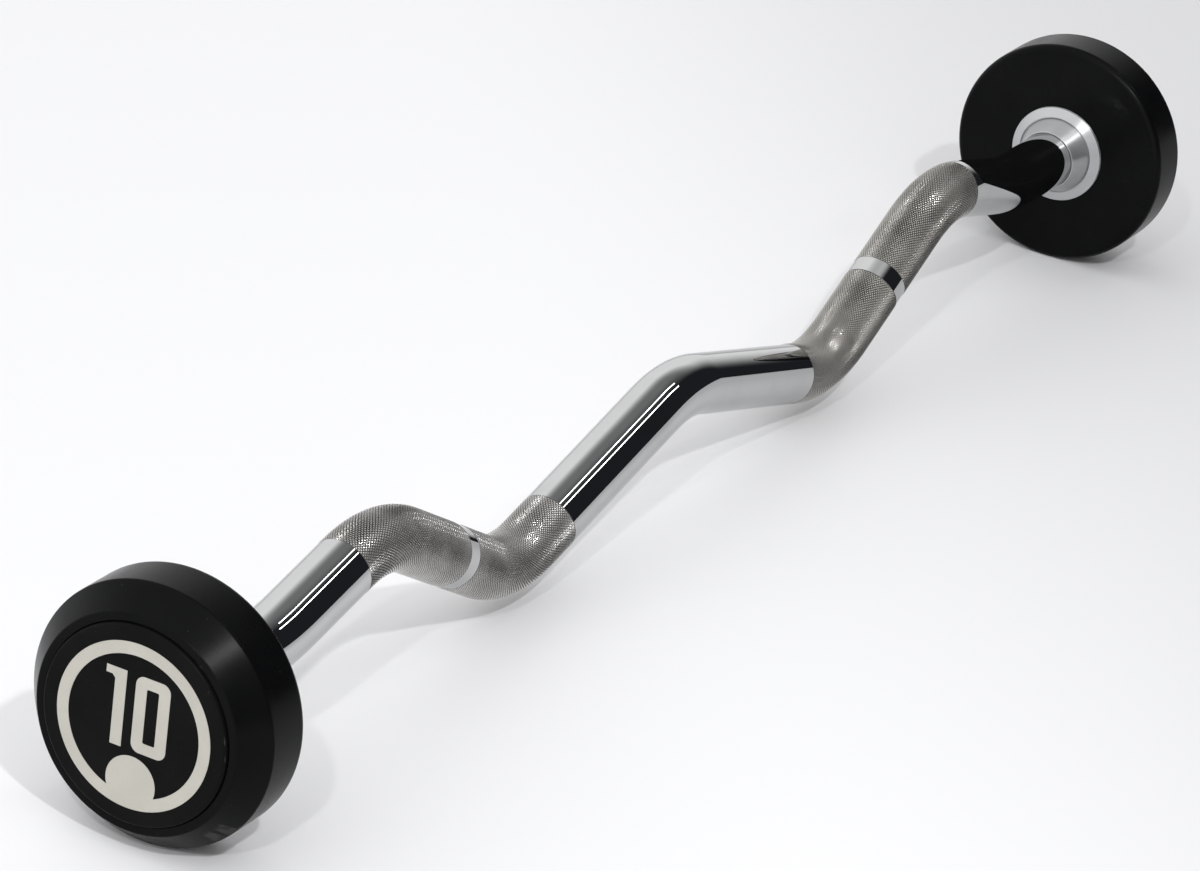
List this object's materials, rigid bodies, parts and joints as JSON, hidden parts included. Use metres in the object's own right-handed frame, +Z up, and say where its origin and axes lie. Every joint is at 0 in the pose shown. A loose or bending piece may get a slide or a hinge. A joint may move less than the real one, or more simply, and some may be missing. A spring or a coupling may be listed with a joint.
{
  "type": "fixed-weight curl barbell",
  "caption": "Fixed-weight curl barbell: a bent chromed bar with knurled grips and a round rubber-covered weight head bolted on each end.",
  "frame": {"origin": "on the floor under the middle of the bar", "axes": "+X along the bar from the left head to the right head, +Z up in the plane of the bends, with the valleys of the grips down"},
  "size_m": [0.934, 0.12, 0.12],
  "materials": {
    "bar_chrome": "polished chrome, duller where knurled",
    "turned_aluminium": "bright turned",
    "core_steel": "machined, oiled",
    "cover_rubber": "moulded, satin",
    "cap_rubber": "moulded, satin, printed ring and number",
    "key_steel": "bright drawn",
    "zinc_steel": "zinc plated",
    "spring_steel": "phosphated"
  },
  "bodies": {
    "root": {"bar": "bar_chrome", "left_inner_collar": "turned_aluminium", "left_weight_core": "core_steel", "left_rubber_cover": "cover_rubber", "left_end_cap": "cap_rubber", "left_drive_key": "key_steel", "left_clamp_washer": "zinc_steel", "left_lock_washer": "spring_steel", "left_end_bolt": "zinc_steel", "right_inner_collar": "turned_aluminium", "right_weight_core": "core_steel", "right_rubber_cover": "cover_rubber", "right_end_cap": "cap_rubber", "right_drive_key": "key_steel", "right_clamp_washer": "zinc_steel", "right_lock_washer": "spring_steel", "right_end_bolt": "zinc_steel"}
  },
  "joints": []
}
